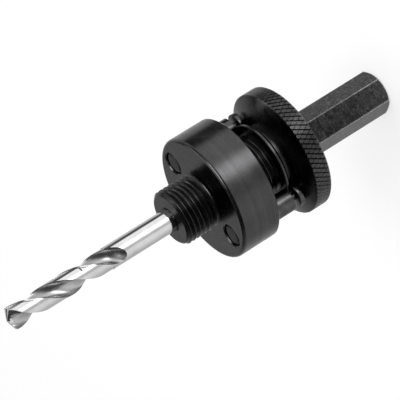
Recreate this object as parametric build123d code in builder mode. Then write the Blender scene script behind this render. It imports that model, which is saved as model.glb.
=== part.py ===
from build123d import *
import math
import os

# Hole saw arbor, standing on the end of its hexagonal shank with the pilot drill upward.
# Millimetres, +Z along the axis from the shank end to the drill tip, X through both drive pins.

# clearances
RUNNING_GAP = 0.05          # the nut on the hub
SEAT_GAP = 0.02             # round pieces that are held still in one another
PIN_GAP = 0.075             # a drive pin in its hole
FREE_GAP = 0.3              # curved faces that pass close by without touching
LIP_TO_NECK = 0.2           # the nut's lip and the neck of a pin
HEAD_TO_FACE = 0.08         # the head of a pin and the nut's face behind it
NECK_PLAY = 0.17            # play of the lip along the neck, on each side

# hexagonal shank
HEX_ACROSS_FLATS = 11.11
HEX_CORNER_ANGLE = 34.5     # first corner, measured from the X axis
SHANK_LENGTH = 32.0         # from its end to the rear of the hub
SHANK_END_CHAMFER = 0.9
SHANK_END_STEP = 0.255      # the end's round face lies this far inside the flats

# threaded nose, at the major diameter of its 5/8 inch thread
NOSE_RADIUS = 7.9375
NOSE_LENGTH = 10.6
NOSE_RELIEF_DEPTH = 0.84
NOSE_RELIEF_LENGTH = 1.5
NOSE_ROOT_RADIUS = 0.9      # rounded corner between the relief and the drum's face
NOSE_CHAMFER_LENGTH = 1.2
NOSE_CHAMFER_DEPTH = 1.44

# drum
DRUM_LENGTH = 11.9
DRUM_FRONT_ROUND = 0.9
DRUM_BACK_CHAMFER = 0.3
NOSE_TO_HOLE_WALL = 1.5125  # from the nose to the edge of a pin hole
RIM_WALL = 1.85             # from the edge of a pin hole to the drum's side

# threaded hub between the shank and the drum
HUB_LENGTH = 15.9
HUB_CHAMFER = 0.9
HUB_RELIEF_LENGTH = 1.0
HUB_RELIEF_DEPTH = 0.85

# drive pins
PIN_RADIUS = 3.175
PIN_HOLE_CHAMFER = 0.3
PIN_RECESS = 0.5            # the pins stop this far behind the drum's front face
PIN_FRONT_CHAMFER = 0.45
PIN_HEAD_LENGTH = 1.45
PIN_HEAD_CHAMFER = 0.15
NECK_RADIUS = 1.0

# knurled nut
NUT_OVERHANG = 1.7          # the nut's back lies this far behind the hub's rear
KNURL_STAND = 0.1           # the knurl's crests stand above the drum's side by this
NUT_BAND_LENGTH = 5.3
NUT_CONE_LENGTH = 1.75
NUT_EDGE_STEP = 0.7
NUT_EDGE_DROP = 0.35
NUT_BACK_CHAMFER = 0.5
NUT_BORE_CHAMFER = 0.6
NUT_FACE_WIDTH = 0.8        # the face reaches this far outside the lip
CORE_WALL = 1.3             # from the nut's bore to the groove for the pins' heads
LIP_HEIGHT = 2.7            # from the nut's bore to the lip's rim
LIP_THICKNESS = 1.45
LIP_EDGE = 0.3

# pilot drill and the bore that holds it
DRILL_RADIUS = 3.175
DRILL_REACH = 52.2          # from the nose's face to the tip
DRILL_HELD_LENGTH = 30.3    # inside the bore
DRILL_POINT_ANGLE = 135.0
DRILL_REAR_CHAMFER = 0.4
BORE_END_GAP = 0.9
BORE_MOUTH_CHAMFER = 0.5
FLUTE_LEAD = 34.0           # axial length of one full turn of a flute
FLUTE_LENGTH = 31.6         # full-depth flute, from the tip
FLUTE_RUN_OUT = 4.6         # the cutter leaves the flute over this length
FLUTE_EXIT_CLEARANCE = 0.35
FLUTE_RADIUS = 2.3
FLUTE_START_ANGLE = 54.0    # middle of the first flute at the tip, from the X axis
WEB_THICKNESS = 1.24        # steel left between the two flutes
MARGIN_ANGLE = 17.0
LAND_CLEARANCE = 0.14
CHISEL_WIDTH = 0.3          # web left between the two gashes of the split point
GASH_SLOPE = 38.0           # between the drill's axis and the floor of a gash
GASH_TURN = -4.0            # the floor's direction, from the middle of the flute

# grub screw that holds the drill
SCREW_RADIUS = 3.0
SCREW_SINK = 1.2            # the screw's outer end lies below the drum's side
SCREW_CONE_LENGTH = 1.0
SCREW_CONE_STEP = 1.1
SCREW_HOLE_CHAMFER = 0.4
SCREW_FLAT_DEPTH = 0.35     # flat on the drill under the screw
SCREW_FLAT_LENGTH = 8.0
SOCKET_ACROSS_FLATS = 3.0
SOCKET_DEPTH = 3.0

# radii, from the nose outward: pin circle, drum and nut, then inward to the hub
PIN_HOLE_RADIUS = PIN_RADIUS + PIN_GAP
PIN_CIRCLE_RADIUS = NOSE_RADIUS + NOSE_TO_HOLE_WALL + PIN_HOLE_RADIUS
DRUM_RADIUS = PIN_CIRCLE_RADIUS + PIN_HOLE_RADIUS + RIM_WALL
NUT_RADIUS = DRUM_RADIUS + KNURL_STAND
LIP_RADIUS = PIN_CIRCLE_RADIUS - NECK_RADIUS - LIP_TO_NECK
NUT_BORE_RADIUS = LIP_RADIUS - LIP_HEIGHT
HUB_RADIUS = NUT_BORE_RADIUS - RUNNING_GAP
CORE_RADIUS = NUT_BORE_RADIUS + CORE_WALL
HUB_RELIEF_RADIUS = HUB_RADIUS - HUB_RELIEF_DEPTH
NOSE_RELIEF_RADIUS = NOSE_RADIUS - NOSE_RELIEF_DEPTH
HEX_ACROSS_CORNERS = HEX_ACROSS_FLATS / math.cos(math.radians(30))
SHANK_END_RADIUS = HEX_ACROSS_FLATS / 2 - SHANK_END_STEP
BORE_RADIUS = DRILL_RADIUS + SEAT_GAP
SCREW_HOLE_RADIUS = SCREW_RADIUS + SEAT_GAP

# heights of the one-piece body
HUB_REAR_Z = SHANK_LENGTH
DRUM_BACK_Z = HUB_REAR_Z + HUB_LENGTH
DRUM_FRONT_Z = DRUM_BACK_Z + DRUM_LENGTH
NOSE_FRONT_Z = DRUM_FRONT_Z + NOSE_LENGTH
SCREW_Z = (DRUM_BACK_Z + DRUM_FRONT_Z) / 2

# heights of the drill and its bore
DRILL_TIP_Z = NOSE_FRONT_Z + DRILL_REACH
DRILL_REAR_Z = NOSE_FRONT_Z - DRILL_HELD_LENGTH
BORE_BOTTOM_Z = DRILL_REAR_Z - BORE_END_GAP
POINT_LENGTH = DRILL_RADIUS / math.tan(math.radians(DRILL_POINT_ANGLE / 2))
FLUTE_CENTRE = WEB_THICKNESS / 2 + FLUTE_RADIUS

# heights of the nut and the pins, from the nut's back forward
NUT_BACK_Z = HUB_REAR_Z - NUT_OVERHANG
NUT_BAND_Z = NUT_BACK_Z + NUT_BAND_LENGTH
NUT_FACE_Z = NUT_BAND_Z + NUT_CONE_LENGTH
PIN_REAR_Z = NUT_FACE_Z + HEAD_TO_FACE
NECK_REAR_Z = PIN_REAR_Z + PIN_HEAD_LENGTH
LIP_REAR_Z = NECK_REAR_Z + NECK_PLAY
LIP_FRONT_Z = LIP_REAR_Z + LIP_THICKNESS
NECK_FRONT_Z = LIP_FRONT_Z + NECK_PLAY
PIN_FRONT_Z = DRUM_FRONT_Z - PIN_RECESS

os.makedirs("parts", exist_ok=True)


def turned(points):
    """Sketch outline of a turned piece as (radius, height) corners in the XZ plane."""
    with BuildSketch(Plane.XZ) as outline:
        with BuildLine():
            Polyline(*points, close=True)
        make_face()
    return outline.sketch


# The arbor body is one bar of steel: turned hub, drum and nose on a hexagonal shank.
body_outline = turned([
    (0, HUB_REAR_Z),
    (HUB_RADIUS - HUB_CHAMFER, HUB_REAR_Z),
    (HUB_RADIUS, HUB_REAR_Z + HUB_CHAMFER),
    (HUB_RADIUS, DRUM_BACK_Z - HUB_RELIEF_LENGTH - HUB_RELIEF_DEPTH / 2),
    (HUB_RELIEF_RADIUS, DRUM_BACK_Z - HUB_RELIEF_LENGTH),
    (HUB_RELIEF_RADIUS, DRUM_BACK_Z),
    (DRUM_RADIUS - DRUM_BACK_CHAMFER, DRUM_BACK_Z),
    (DRUM_RADIUS, DRUM_BACK_Z + DRUM_BACK_CHAMFER),
    (DRUM_RADIUS, DRUM_FRONT_Z),
    (NOSE_RELIEF_RADIUS, DRUM_FRONT_Z),
    (NOSE_RELIEF_RADIUS, DRUM_FRONT_Z + NOSE_RELIEF_LENGTH - NOSE_RELIEF_DEPTH / 2),
    (NOSE_RADIUS, DRUM_FRONT_Z + NOSE_RELIEF_LENGTH),
    (NOSE_RADIUS, NOSE_FRONT_Z - NOSE_CHAMFER_LENGTH),
    (NOSE_RADIUS - NOSE_CHAMFER_DEPTH, NOSE_FRONT_Z),
    (0, NOSE_FRONT_Z),
])

# The end of the shank is turned to a cone that takes off the hexagon's corners.
shank_end_cone = turned([
    (0, 0),
    (SHANK_END_RADIUS, 0),
    (SHANK_END_RADIUS + SHANK_END_CHAMFER * 1.6, SHANK_END_CHAMFER),
    (SHANK_END_RADIUS + SHANK_END_CHAMFER * 1.6, HUB_REAR_Z),
    (0, HUB_REAR_Z),
])

bore_outline = turned([
    (0, BORE_BOTTOM_Z - BORE_RADIUS / math.tan(math.radians(59))),
    (BORE_RADIUS, BORE_BOTTOM_Z),
    (BORE_RADIUS, NOSE_FRONT_Z - BORE_MOUTH_CHAMFER),
    (BORE_RADIUS + BORE_MOUTH_CHAMFER, NOSE_FRONT_Z),
    (0, NOSE_FRONT_Z),
])

with BuildPart() as arbor_body:
    with BuildSketch(Plane.XY):
        RegularPolygon(HEX_ACROSS_CORNERS / 2, 6, rotation=HEX_CORNER_ANGLE)
    extrude(amount=HUB_REAR_Z)
    add(revolve(shank_end_cone, Axis.Z), mode=Mode.INTERSECT)
    revolve(body_outline, Axis.Z)
    front_edges = arbor_body.edges().filter_by(GeomType.CIRCLE)
    front_edges = front_edges.filter_by(lambda e: abs(e.radius - DRUM_RADIUS) < 1e-6)
    fillet(front_edges.sort_by(Axis.Z)[-1], DRUM_FRONT_ROUND)
    root_edges = arbor_body.edges().filter_by(GeomType.CIRCLE)
    root_edges = root_edges.filter_by(lambda e: abs(e.radius - NOSE_RELIEF_RADIUS) < 1e-6)
    fillet(root_edges.sort_by(Axis.Z)[0], NOSE_ROOT_RADIUS)
    revolve(bore_outline, Axis.Z, mode=Mode.SUBTRACT)
    with BuildSketch(Plane.XY.offset(DRUM_BACK_Z)):
        with Locations((PIN_CIRCLE_RADIUS, 0), (-PIN_CIRCLE_RADIUS, 0)):
            Circle(PIN_HOLE_RADIUS)
    extrude(amount=DRUM_FRONT_Z - DRUM_BACK_Z, mode=Mode.SUBTRACT)
    with Locations(
        (PIN_CIRCLE_RADIUS, 0, DRUM_FRONT_Z),
        (-PIN_CIRCLE_RADIUS, 0, DRUM_FRONT_Z),
    ):
        Cone(
            PIN_HOLE_RADIUS,
            PIN_HOLE_RADIUS + PIN_HOLE_CHAMFER,
            PIN_HOLE_CHAMFER,
            align=(Align.CENTER, Align.CENTER, Align.MAX),
            mode=Mode.SUBTRACT,
        )
    with BuildSketch(Plane(origin=(0, 0, SCREW_Z), z_dir=(0, -1, 0))):
        Circle(SCREW_HOLE_RADIUS)
    extrude(amount=DRUM_RADIUS, mode=Mode.SUBTRACT)
    countersink_depth = 2 * SCREW_HOLE_CHAMFER
    with BuildSketch(
        Plane(origin=(0, -DRUM_RADIUS + countersink_depth, SCREW_Z), z_dir=(0, -1, 0))
    ):
        Circle(SCREW_HOLE_RADIUS)
    with BuildSketch(Plane(origin=(0, -DRUM_RADIUS, SCREW_Z), z_dir=(0, -1, 0))):
        Circle(SCREW_HOLE_RADIUS + countersink_depth)
    loft(mode=Mode.SUBTRACT)
arbor_body.part.label = "arbor_body"
export_step(arbor_body.part, "parts/arbor_body.step")


# The drive pins slide in the drum. A neck behind each one takes the nut's lip.
def drive_pin(side):
    """One drive pin, on the +X side (side = 1) or the -X side (side = -1)."""
    middle = side * PIN_CIRCLE_RADIUS
    head_rear = PIN_RADIUS - PIN_HEAD_CHAMFER
    front = PIN_RADIUS - PIN_FRONT_CHAMFER
    with BuildPart() as pin:
        with BuildSketch(Plane.XZ):
            with BuildLine():
                Polyline(
                    (0, PIN_REAR_Z),
                    (head_rear, PIN_REAR_Z),
                    (PIN_RADIUS, PIN_REAR_Z + PIN_HEAD_CHAMFER),
                    (PIN_RADIUS, NECK_REAR_Z),
                    (NECK_RADIUS, NECK_REAR_Z),
                    (NECK_RADIUS, NECK_FRONT_Z),
                    (PIN_RADIUS, NECK_FRONT_Z),
                    (PIN_RADIUS, PIN_FRONT_Z - PIN_FRONT_CHAMFER),
                    (front, PIN_FRONT_Z),
                    (0, PIN_FRONT_Z),
                    close=True,
                )
            make_face()
        revolve(axis=Axis.Z)
        # a flat on the head's inner side clears the core of the nut
        flat_from_middle = PIN_CIRCLE_RADIUS - CORE_RADIUS - FREE_GAP
        with Locations((-side * (flat_from_middle + PIN_RADIUS), 0, PIN_REAR_Z)):
            Box(
                2 * PIN_RADIUS,
                3 * PIN_RADIUS,
                PIN_HEAD_LENGTH,
                align=(Align.CENTER, Align.CENTER, Align.MIN),
                mode=Mode.SUBTRACT,
            )
    return pin.part.moved(Location((middle, 0, 0)))


with BuildPart() as drive_pin_a:
    add(drive_pin(1))
drive_pin_a.part.label = "drive_pin_a"
export_step(drive_pin_a.part, "parts/drive_pin_a.step")

with BuildPart() as drive_pin_b:
    add(drive_pin(-1))
drive_pin_b.part.label = "drive_pin_b"
export_step(drive_pin_b.part, "parts/drive_pin_b.step")


# The nut runs on the hub's thread. Its lip and the groove behind it hold the pins' heads.
nut_outline = turned([
    (NUT_BORE_RADIUS + NUT_BORE_CHAMFER, NUT_BACK_Z),
    (NUT_RADIUS - NUT_BACK_CHAMFER, NUT_BACK_Z),
    (NUT_RADIUS, NUT_BACK_Z + NUT_BACK_CHAMFER),
    (NUT_RADIUS, NUT_BAND_Z - NUT_EDGE_DROP),
    (NUT_RADIUS - NUT_EDGE_STEP, NUT_BAND_Z),
    (LIP_RADIUS + NUT_FACE_WIDTH, NUT_FACE_Z),
    (CORE_RADIUS, NUT_FACE_Z),
    (CORE_RADIUS, LIP_REAR_Z),
    (LIP_RADIUS - LIP_EDGE, LIP_REAR_Z),
    (LIP_RADIUS, LIP_REAR_Z + LIP_EDGE),
    (LIP_RADIUS, LIP_FRONT_Z - LIP_EDGE),
    (LIP_RADIUS - LIP_EDGE, LIP_FRONT_Z),
    (NUT_BORE_RADIUS + NUT_BORE_CHAMFER, LIP_FRONT_Z),
    (NUT_BORE_RADIUS, LIP_FRONT_Z - NUT_BORE_CHAMFER),
    (NUT_BORE_RADIUS, NUT_BACK_Z + NUT_BORE_CHAMFER),
])

with BuildPart() as knurled_nut:
    revolve(nut_outline, Axis.Z)
knurled_nut.part.label = "knurled_nut"
export_step(knurled_nut.part, "parts/knurled_nut.step")


# The grub screw points at the axis from the drum's -Y side, with a hexagonal socket outside.
FLAT_FROM_AXIS = DRILL_RADIUS - SCREW_FLAT_DEPTH
SCREW_OUTER_FROM_AXIS = DRUM_RADIUS - SCREW_SINK
SCREW_LENGTH = SCREW_OUTER_FROM_AXIS - FLAT_FROM_AXIS
with BuildPart() as pilot_grub_screw:
    with BuildSketch(Plane(origin=(0, -FLAT_FROM_AXIS, SCREW_Z), z_dir=(0, -1, 0))):
        Circle(SCREW_RADIUS - SCREW_CONE_STEP)
    with BuildSketch(
        Plane(origin=(0, -FLAT_FROM_AXIS - SCREW_CONE_LENGTH, SCREW_Z), z_dir=(0, -1, 0))
    ):
        Circle(SCREW_RADIUS)
    loft()
    screw_shoulder = Plane(
        origin=(0, -FLAT_FROM_AXIS - SCREW_CONE_LENGTH, SCREW_Z), z_dir=(0, -1, 0)
    )
    with BuildSketch(screw_shoulder):
        Circle(SCREW_RADIUS)
    extrude(amount=SCREW_LENGTH - SCREW_CONE_LENGTH)
    with BuildSketch(Plane(origin=(0, -SCREW_OUTER_FROM_AXIS, SCREW_Z), z_dir=(0, -1, 0))):
        RegularPolygon(SOCKET_ACROSS_FLATS / 2, 6, major_radius=False)
    extrude(amount=-SOCKET_DEPTH, mode=Mode.SUBTRACT)
pilot_grub_screw.part.label = "pilot_grub_screw"
export_step(pilot_grub_screw.part, "parts/pilot_grub_screw.step")


# The pilot drill: a twist drill with two right-hand flutes that run out before the nose.
def flute_point(height_below_tip, angle_shift, reach):
    """Centre of the flute curve at a height below the tip, at a distance from the axis."""
    turn = FLUTE_START_ANGLE + angle_shift - 360 * height_below_tip / FLUTE_LEAD
    return (
        reach * math.cos(math.radians(turn)),
        reach * math.sin(math.radians(turn)),
        DRILL_TIP_Z - height_below_tip,
    )


def flute_path(angle_shift):
    """Points of one flute's path: a helix from above the tip, then a rise out of the drill."""
    points = []
    full_steps = 16
    above_tip = FLUTE_RADIUS
    for step in range(full_steps + 1):
        height = step * (FLUTE_LENGTH + above_tip) / full_steps - above_tip
        points.append(flute_point(height, angle_shift, FLUTE_CENTRE))
    exit_rise = DRILL_RADIUS - WEB_THICKNESS / 2 + FLUTE_EXIT_CLEARANCE
    exit_steps = 4
    for step in range(1, exit_steps + 1):
        part_way = step / exit_steps
        height = FLUTE_LENGTH + part_way * FLUTE_RUN_OUT
        reach = FLUTE_CENTRE + exit_rise * part_way ** 2
        points.append(flute_point(height, angle_shift, reach))
    return points


drill_outline = turned([
    (0, DRILL_REAR_Z),
    (DRILL_RADIUS - DRILL_REAR_CHAMFER, DRILL_REAR_Z),
    (DRILL_RADIUS, DRILL_REAR_Z + DRILL_REAR_CHAMFER),
    (DRILL_RADIUS, DRILL_TIP_Z - POINT_LENGTH),
    (0, DRILL_TIP_Z),
])

FLUTE_HALF_ANGLE = math.degrees(math.acos(
    (DRILL_RADIUS ** 2 + FLUTE_CENTRE ** 2 - FLUTE_RADIUS ** 2)
    / (2 * DRILL_RADIUS * FLUTE_CENTRE)
))
LAND_OVERLAP = 10           # degrees by which the cuts of land and flute overlap
GASH_SIZE = 2 * DRILL_RADIUS


def gash_plane(angle_shift):
    """Plane across a gash of the split point: x runs up its wall, y away from the lip."""
    lip = math.radians(FLUTE_START_ANGLE + angle_shift - FLUTE_HALF_ANGLE)
    floor = math.radians(FLUTE_START_ANGLE + angle_shift + GASH_TURN)
    rise = math.radians(GASH_SLOPE)
    from_lip = Vector(-math.sin(lip), math.cos(lip), 0)
    from_floor = Vector(
        math.cos(rise) * math.cos(floor),
        math.cos(rise) * math.sin(floor),
        math.sin(rise),
    )
    along = from_floor.cross(from_lip).normalized()
    corner = Vector(0, 0, DRILL_TIP_Z) + from_lip * (CHISEL_WIDTH / 2)
    return Plane(origin=corner, x_dir=from_lip.cross(along), z_dir=along)


def gash_lean():
    """Sideways step of a gash's floor for each millimetre away from the lip."""
    across = math.radians(FLUTE_HALF_ANGLE + GASH_TURN)
    rise = math.radians(GASH_SLOPE)
    from_lip = math.cos(rise) * math.sin(across)
    return -from_lip / math.sqrt(1 - from_lip ** 2)


with BuildPart() as pilot_drill:
    revolve(drill_outline, Axis.Z)
    for shift in (0, 180):
        # behind each margin the land is ground back a little, along the same helix
        land_start = FLUTE_START_ANGLE + shift + FLUTE_HALF_ANGLE - LAND_OVERLAP
        land_sweep = 180 - 2 * FLUTE_HALF_ANGLE - MARGIN_ANGLE + LAND_OVERLAP
        with BuildLine(Plane.XY.offset(DRILL_TIP_Z - FLUTE_LENGTH)) as land_spine:
            Line((0, 0, 0), (0, 0, FLUTE_LENGTH))
        land_twist = Helix(
            FLUTE_LEAD,
            FLUTE_LENGTH,
            DRILL_RADIUS,
            center=(0, 0, DRILL_TIP_Z - FLUTE_LENGTH),
            mode=Mode.PRIVATE,
        )
        bottom_turn = -360 * FLUTE_LENGTH / FLUTE_LEAD
        with BuildSketch(Plane.XY.offset(DRILL_TIP_Z - FLUTE_LENGTH)):
            with BuildLine():
                inner = DRILL_RADIUS - LAND_CLEARANCE
                outer = DRILL_RADIUS + FREE_GAP
                first = land_start + bottom_turn
                CenterArc((0, 0), inner, first, land_sweep)
                CenterArc((0, 0), outer, first, land_sweep)
                for turn in (math.radians(first), math.radians(first + land_sweep)):
                    Line(
                        (inner * math.cos(turn), inner * math.sin(turn)),
                        (outer * math.cos(turn), outer * math.sin(turn)),
                    )
            make_face()
        sweep(path=land_spine.line, binormal=land_twist, mode=Mode.SUBTRACT)
    for shift in (0, 180):
        with BuildLine() as flute_line:
            Spline(*flute_path(shift))
        with BuildSketch(Plane(origin=flute_line.line @ 0, z_dir=flute_line.line % 0)):
            Circle(FLUTE_RADIUS)
        sweep(path=flute_line.line, mode=Mode.SUBTRACT)
    for shift in (0, 180):
        # a gash on each side thins the web at the point and takes off the land's heel
        with BuildSketch(gash_plane(shift)):
            with BuildLine():
                Polyline(
                    (0, 0),
                    (GASH_SIZE, 0),
                    (GASH_SIZE, GASH_SIZE),
                    (gash_lean() * GASH_SIZE, GASH_SIZE),
                    close=True,
                )
            make_face()
        extrude(amount=GASH_SIZE, both=True, mode=Mode.SUBTRACT)
    # the grub screw bears on a short flat
    with Locations((0, -DRILL_RADIUS + SCREW_FLAT_DEPTH, SCREW_Z)):
        Box(
            2 * DRILL_RADIUS,
            DRILL_RADIUS,
            SCREW_FLAT_LENGTH,
            align=(Align.CENTER, Align.MAX, Align.CENTER),
            mode=Mode.SUBTRACT,
        )
pilot_drill.part.label = "pilot_drill"
export_step(pilot_drill.part, "parts/pilot_drill.step")
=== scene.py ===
"""Looks of the hole saw arbor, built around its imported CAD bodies.

The arbor stands on the end of its hexagonal shank. Sizes are in millimetres
and heights are measured from that end, unless a comment says metres. Every
finished mesh is in metres in the CAD frame.
"""

import logging
import math
from collections.abc import Callable
from dataclasses import dataclass, field
from enum import Enum

import bmesh
import bpy
from mathutils import Matrix, Vector


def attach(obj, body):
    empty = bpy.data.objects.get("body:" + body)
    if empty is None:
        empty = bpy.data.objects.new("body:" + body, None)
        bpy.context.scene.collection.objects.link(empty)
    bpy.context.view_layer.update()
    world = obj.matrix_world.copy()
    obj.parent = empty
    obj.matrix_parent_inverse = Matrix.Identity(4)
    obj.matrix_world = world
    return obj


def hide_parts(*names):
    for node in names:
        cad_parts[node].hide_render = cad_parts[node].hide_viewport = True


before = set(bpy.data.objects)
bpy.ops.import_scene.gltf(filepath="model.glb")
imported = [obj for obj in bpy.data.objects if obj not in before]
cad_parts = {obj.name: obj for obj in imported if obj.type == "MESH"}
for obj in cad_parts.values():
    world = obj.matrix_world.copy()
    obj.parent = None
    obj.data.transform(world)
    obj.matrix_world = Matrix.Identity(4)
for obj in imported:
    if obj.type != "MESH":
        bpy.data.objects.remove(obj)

MM = 0.001
ROUND = 160                 # straight sides of a turned piece
THREAD_STEPS = 72           # straight sides of one thread turn
MERGE = 1e-6                # corners nearer than this, in metres, are one
CUT_TOLERANCE = 1e-7        # metres
SAME_RADIUS = 1e-9          # millimetres
NORMAL_WEIGHT = 90          # how strongly large faces set the shading
HEX_HALF_ANGLE = 30         # degrees from a hexagon's corner to the middle of its flat
LAP = 1.0                   # how far a tool stands past what it cuts
SHORT_LAP = 0.5
AXIS = (0.0, 0.0, 1.0)
ORIGIN = (0.0, 0.0, 0.0)

log = logging.getLogger("hole_saw_arbor")

Outline = list[tuple[float, float]]
Piece = bpy.types.Object
Socket = bpy.types.NodeSocket


class Cut(Enum):
    """How one solid is combined with another."""

    TRIM = "INTERSECT"
    WELD = "UNION"
    BORE = "DIFFERENCE"


class Body(Enum):
    """CAD bodies that the pieces ride on."""

    ARBOR = "arbor"
    PINS = "pins"
    NUT = "nut"


class Ground(Enum):
    """Surfaces of the pilot drill, by how they were made."""

    FLUTE = "flute or point"
    ROUND = "shank or margin"
    LAND = "land"


# Bench work: selecting, turning, threading and joining


def deselect_all() -> None:
    """Leaves nothing selected."""
    bpy.ops.object.select_all(action="DESELECT")


def pick(piece: Piece) -> None:
    """Makes one piece the selected and active one.

    Args:
        piece: The piece to work on.
    """
    deselect_all()
    piece.select_set(True)
    bpy.context.view_layer.objects.active = piece


def named(name: str) -> Piece:
    """Names the piece that was added last.

    Args:
        name: Its name.

    Returns:
        The piece.
    """
    piece = bpy.context.object
    piece.name = name
    return piece


def put_in_scene(name: str, data: bpy.types.ID) -> Piece:
    """Adds an object that shows a mesh, a lamp or a camera.

    Args:
        name: Name of the object.
        data: What it shows.

    Returns:
        The object.
    """
    holder = bpy.data.objects.new(name, data)
    bpy.context.scene.collection.objects.link(holder)
    return holder


def open_mesh(piece: Piece) -> None:
    """Enters edit mode on a piece with its whole mesh selected.

    Args:
        piece: The piece to edit.
    """
    pick(piece)
    bpy.ops.object.mode_set(mode="EDIT")
    bpy.ops.mesh.select_mode(type="VERT")
    bpy.ops.mesh.select_all(action="SELECT")


def close_mesh() -> None:
    """Leaves edit mode."""
    bpy.ops.object.mode_set(mode="OBJECT")


def start_point(name: str, place: tuple[float, float, float]) -> Piece:
    """Starts a piece from a single corner and leaves it in edit mode.

    Args:
        name: Name of the new piece.
        place: Where the corner lies, in metres.

    Returns:
        The piece, with its corner selected.
    """
    deselect_all()
    bpy.ops.mesh.primitive_plane_add(size=MM)
    piece = named(name)
    open_mesh(piece)
    bpy.ops.mesh.merge(type="CENTER")
    bpy.ops.transform.translate(value=place)
    return piece


def extrude(out: float, up: float) -> None:
    """Extrudes what is selected.

    Args:
        out: Distance along X, in metres.
        up: Distance along Z, in metres.
    """
    bpy.ops.mesh.extrude_region_move(TRANSFORM_OT_translate={"value": (out, 0, up)})


def swing(degrees: float, axis: str = "Z") -> None:
    """Turns what is selected about an axis through the origin, anticlockwise.

    Args:
        degrees: The angle.
        axis: Letter of the axis.
    """
    bpy.ops.transform.rotate(
        value=math.radians(-degrees), orient_axis=axis, center_override=ORIGIN
    )


def sweep_round(degrees: float, steps: int) -> None:
    """Sweeps what is selected about the Z axis, anticlockwise.

    Args:
        degrees: The angle.
        steps: Straight runs that make it up.
    """
    bpy.ops.mesh.spin(steps=steps, angle=math.radians(-degrees), center=ORIGIN, axis=AXIS)


def select_corners(piece: Piece, wanted: Callable[[Vector], bool]) -> None:
    """Selects the corners of an open mesh that pass a test.

    Args:
        piece: The piece, in edit mode.
        wanted: Tells from a corner's place whether it is selected.
    """
    bpy.ops.mesh.select_all(action="DESELECT")
    shape = bmesh.from_edit_mesh(piece.data)
    for corner in shape.verts:
        corner.select = wanted(corner.co)
    shape.select_flush(True)
    bmesh.update_edit_mesh(piece.data)


def settle(piece: Piece) -> None:
    """Puts a piece's place and turn into its mesh.

    Args:
        piece: The piece, which ends at the origin, unturned and unscaled.
    """
    pick(piece)
    bpy.ops.object.transform_apply(location=True, rotation=True, scale=True)


def shift_and_turn(piece: Piece, matrix: Matrix) -> Piece:
    """Moves a finished tool to its place.

    Args:
        piece: The piece to move.
        matrix: Its new place.

    Returns:
        The same piece, with its place in its mesh.
    """
    piece.matrix_world = matrix
    settle(piece)
    return piece


def apply_modifier(piece: Piece, name: str, kind: str, **settings: object) -> None:
    """Adds a modifier to a piece, sets it and applies it.

    Args:
        piece: The piece to change.
        name: Name of the modifier.
        kind: Blender's name of its type.
        settings: Properties to set on it.
    """
    modifier = piece.modifiers.new(name, kind)
    for title, value in settings.items():
        setattr(modifier, title, value)
    pick(piece)
    bpy.ops.object.modifier_apply(modifier=modifier.name)


def clean_shell(piece: Piece, merge: float = MERGE) -> None:
    """Merges doubled corners and turns all faces outward.

    Args:
        piece: The piece to clean.
        merge: Corners nearer than this, in metres, become one.
    """
    open_mesh(piece)
    bpy.ops.mesh.remove_doubles(threshold=merge)
    bpy.ops.mesh.normals_make_consistent(inside=False)
    close_mesh()


def cut_to_length(piece: Piece, low: float, high: float) -> None:
    """Cuts an open tube square at two heights and closes both ends.

    Args:
        piece: The tube.
        low: Height of its new lower end.
        high: Height of its new upper end.
    """
    for height, ends in ((low, {"clear_inner": True}), (high, {"clear_outer": True})):
        open_mesh(piece)
        bpy.ops.mesh.bisect(
            plane_co=(0, 0, height * MM), plane_no=AXIS, use_fill=True,
            threshold=CUT_TOLERANCE, **ends,
        )
        close_mesh()
    clean_shell(piece)


def combine(piece: Piece, tool: Piece, how: Cut) -> None:
    """Trims, welds or bores a piece with a tool solid, which is used up.

    Args:
        piece: The piece that changes.
        tool: The solid that cuts it or joins it.
        how: What happens to the two.
    """
    apply_modifier(
        piece, how.name, "BOOLEAN", operation=how.value, solver="EXACT", object=tool
    )
    mesh = tool.data
    bpy.data.objects.remove(tool)
    bpy.data.meshes.remove(mesh)


def smooth(piece: Piece, degrees: float = 28.0, even: bool = True) -> None:
    """Shades a piece smooth, apart from edges sharper than an angle.

    Args:
        piece: The piece to shade.
        degrees: The angle from which an edge stays sharp.
        even: True to keep large faces flat in their shading beside narrow rounds.
    """
    pick(piece)
    bpy.ops.object.shade_smooth_by_angle(angle=math.radians(degrees))
    if even:
        apply_modifier(
            piece, "even_normals", "WEIGHTED_NORMAL", keep_sharp=True, weight=NORMAL_WEIGHT
        )


def arc(centre: tuple[float, float], radius: float, start: float, end: float,
        steps: int = 6) -> Outline:
    """Corners of a rounded stretch of an outline.

    Args:
        centre: Middle of the round, as (radius, height).
        radius: Size of the round.
        start: First angle in degrees, 0 outward and 90 upward.
        end: Last angle in degrees.
        steps: Straight runs that make up the round.

    Returns:
        The corners, both ends included.
    """
    angles = [math.radians(start + (end - start) * i / steps) for i in range(steps + 1)]
    return [
        (centre[0] + radius * math.cos(a), centre[1] + radius * math.sin(a))
        for a in angles
    ]


def turn(name: str, outline: Outline, sides: int = ROUND, ring: bool = False) -> Piece:
    """Turns a piece about the Z axis from its outline, upward from the first corner.

    Args:
        name: Name of the new piece.
        outline: Corners as (radius, height).
        sides: Straight sides of its circles.
        ring: True if the outline closes on itself, as for a nut.

    Returns:
        The turned piece.
    """
    deselect_all()
    radius, height = outline[0]
    bpy.ops.mesh.primitive_circle_add(
        vertices=sides,
        radius=radius * MM,
        fill_type="NOTHING" if ring else "NGON",
        location=(0, 0, height * MM),
    )
    piece = named(name)
    settle(piece)
    open_mesh(piece)
    for (near, low), (far, high) in zip(outline, outline[1:]):
        extrude(0, (high - low) * MM)
        if abs(far - near) > SAME_RADIUS:
            growth = far / near
            bpy.ops.transform.resize(
                value=(growth, growth, 1), center_override=(0, 0, high * MM)
            )
    close_mesh()
    clean_shell(piece)
    return piece


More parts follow.
